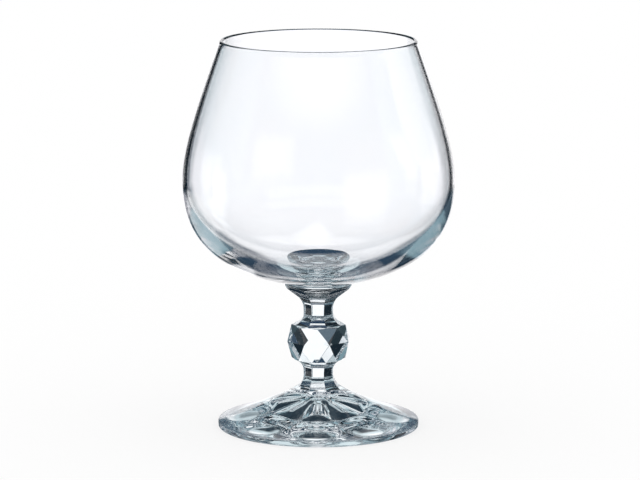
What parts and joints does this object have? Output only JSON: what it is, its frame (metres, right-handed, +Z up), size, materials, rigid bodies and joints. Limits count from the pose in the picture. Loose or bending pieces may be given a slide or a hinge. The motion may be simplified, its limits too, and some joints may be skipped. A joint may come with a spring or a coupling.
{
  "type": "brandy snifter",
  "caption": "Clear stemmed brandy glass: a wide bowl narrowing to its rim, on a short panelled stem with a faceted knop and a round foot moulded with a star.",
  "frame": {"origin": "on the table, at the middle of the foot", "axes": "+Z up along the glass's axis, -Y towards the viewer, with a panel of the stem facing -Y"},
  "size_m": [0.0822, 0.0822, 0.118],
  "materials": {
    "blown_glass": "clear, fire polished",
    "pressed_glass": "clear, pressed and polished"
  },
  "bodies": {
    "root": {"bowl": "blown_glass", "collar": "pressed_glass", "upper_neck": "pressed_glass", "knop": "pressed_glass", "lower_neck": "pressed_glass", "foot": "pressed_glass"}
  },
  "joints": []
}
